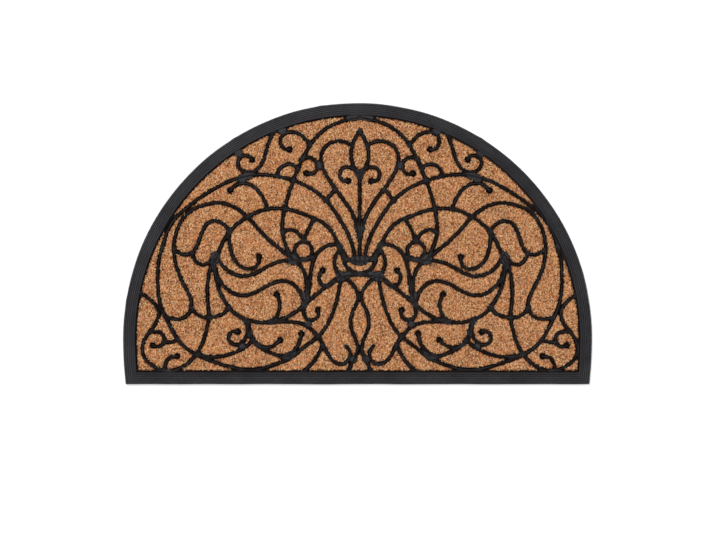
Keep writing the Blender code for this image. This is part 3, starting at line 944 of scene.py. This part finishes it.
def tuft_places(blended):
    """Where the tufts stand: a shaken grid that leaves out the ridges and the border."""
    low, high = np.array(coir_low.xy), np.array(coir_high.xy)
    count = ((high - low) / TUFT_PITCH).astype(int)
    grid = np.stack(np.meshgrid(*[np.arange(n) for n in count], indexing="ij"), axis=-1)
    places = low + grid.reshape(-1, 2) * TUFT_PITCH
    places += rng.uniform(0, TUFT_PITCH, places.shape)
    return places[look_up(blended, places) > FIBRE_CLEAR]


def fibre_blades(blended, materials):
    """Every fibre as a blade of three triangles, in one piece for each batch of husk."""
    places = tuft_places(blended)
    tufts = len(places)
    tuft = np.repeat(np.arange(tufts), TUFT_FIBRES)
    batch = rng.integers(0, len(materials), tufts)[tuft]
    count = len(tuft)
    roots = places[tuft] + rng.normal(0, TUFT_SPREAD, (count, 2))
    lean = rng.choice(NAP_LEANS, tufts) + rng.normal(0, NAP_SPREAD, tufts)
    lean += NAP_SPREAD * smooth_noise(places, NAP_GRAIN)
    turn = np.radians(lean[tuft] + rng.normal(0, FIBRE_SPREAD, count))
    rise = np.radians(between(TUFT_RISE, tufts)[tuft] + between(FIBRE_RISE, count))
    length = between(FIBRE_LENGTH, count)
    # A fibre that would end over a ridge leans the other way
    tip_plan = roots + pointing(turn, rise)[:, :2] * length[:, None]
    astray = look_up(blended, np.clip(tip_plan, field_low, None)) < FIBRE_OVERHANG
    turn[astray] += math.pi
    root_height = BED_TOP - FIBRE_ROOT_DEPTH + TUFT_HEIGHT * rng.uniform(-1, 1, tufts)[tuft]
    root = np.column_stack([roots, root_height])
    middle = root + pointing(turn, rise) * length[:, None] / 2
    late_turn = turn + np.radians(rng.uniform(-FIBRE_SWERVE, FIBRE_SWERVE, count))
    tip = middle + pointing(late_turn, rise - math.radians(FIBRE_DROOP)) * length[:, None] / 2
    tip[:, 2] = np.minimum(tip[:, 2], FIBRE_HIGHEST)
    across = pointing(turn + math.pi / 2, rng.uniform(-FIBRE_TILT, FIBRE_TILT, count))
    across *= between(FIBRE_WIDTH, count)[:, None] / 2
    corners = [root - across, root + across, middle + across, middle - across, tip]
    points = np.stack(corners, axis=1)
    tone = rng.normal(MIDDLE_TONE, TUFT_TONE, tufts)[tuft] + rng.normal(0, FIBRE_TONE, count)
    tone = np.clip(tone, *TONE_LIMITS)
    shade = between(TIP_SHADE, count)
    # Fibres rooted near a ridge are painted darker, as the ridge's shade
    shade -= GROOVE_SHADE * (1 - ramp(look_up(blended, roots), *SHADED))
    side = np.array([-1, 1, 1, -1, 0]) * TONE_SPOT
    down = np.array([SHADE_SPAN, SHADE_SPAN, SHADE_SPAN / 2, SHADE_SPAN / 2, 0])
    spots = np.stack([tone[:, None] + side, shade[:, None] - down], axis=2)
    blade = np.array([(0, 1, 2), (0, 2, 3), (3, 2, 4)])
    made = []
    for number, material in enumerate(materials):
        share = batch == number
        faces = (np.arange(share.sum())[:, None, None] * len(corners) + blade).reshape(-1, 3)
        name = f"coir_fibres_{number + 1}"
        piece = new_piece(name, points[share].reshape(-1, 3), faces, material)
        layer = piece.data.uv_layers.new(name="OFBake")
        layer.data.foreach_set("uv", spots[share].reshape(-1, 2)[faces.ravel()].ravel())
        made.append(piece)
    return made


fibres = fibre_blades(blended, [coir_fibre(*batch) for batch in HUSKS.items()])
for piece in fibres:
    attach(piece, "root")


# The studio
# A plain white floor, a white room and two large soft lights, as for a catalogue picture taken from
# straight above.

# The camera's height is above the ridges, where the view is as wide as it says
VIEW_WIDTH = 1.143
VIEW_CENTRE = (0.0006, -0.0422)
CAMERA_HEIGHT = 3.0
SENSOR_WIDTH = 36
FLOOR_SIZE = 40
CARD_WHITE = "#f6f6f6"
CARD_ROUGHNESS = 0.9
ROOM_WHITE = "#ffffff"
ROOM_LIGHT = 0.75
# name, place, size and power in watts
LIGHTS = [
    ("window_light", (-1.6, 2.2, 2.4), 1.5, 110),
    ("fill_light", (1.9, -1.6, 2.2), 1.5, 45),
]


def white_floor():
    """Matt white card."""
    material = new_material("white_card")
    return finish_material(
        material,
        {"Base Color": linear(CARD_WHITE), "Roughness": CARD_ROUGHNESS},
    )


bpy.ops.mesh.primitive_plane_add(size=FLOOR_SIZE)
floor = bpy.context.object
floor.name = "floor"
floor.data.materials.append(white_floor())

for name, place, size, power in LIGHTS:
    light = bpy.data.lights.new(name, "AREA")
    light.size = size
    light.energy = power
    lamp = bpy.data.objects.new(name, light)
    bpy.context.collection.objects.link(lamp)
    lamp.location = place
    lamp.rotation_euler = (-lamp.location).to_track_quat("-Z", "Y").to_euler()

world = bpy.data.worlds.new("studio")
bpy.context.scene.world = world
world.use_nodes = True
room = world.node_tree.nodes["Background"]
room.inputs["Color"].default_value = linear(ROOM_WHITE)
room.inputs["Strength"].default_value = ROOM_LIGHT

camera = bpy.data.objects.new("camera", bpy.data.cameras.new("camera"))
bpy.context.collection.objects.link(camera)
camera.location = (*VIEW_CENTRE, CAMERA_HEIGHT + BORDER_TOP)
camera.data.sensor_width = SENSOR_WIDTH
camera.data.lens = SENSOR_WIDTH * CAMERA_HEIGHT / VIEW_WIDTH
bpy.context.scene.camera = camera
bpy.context.scene.view_settings.view_transform = "Standard"
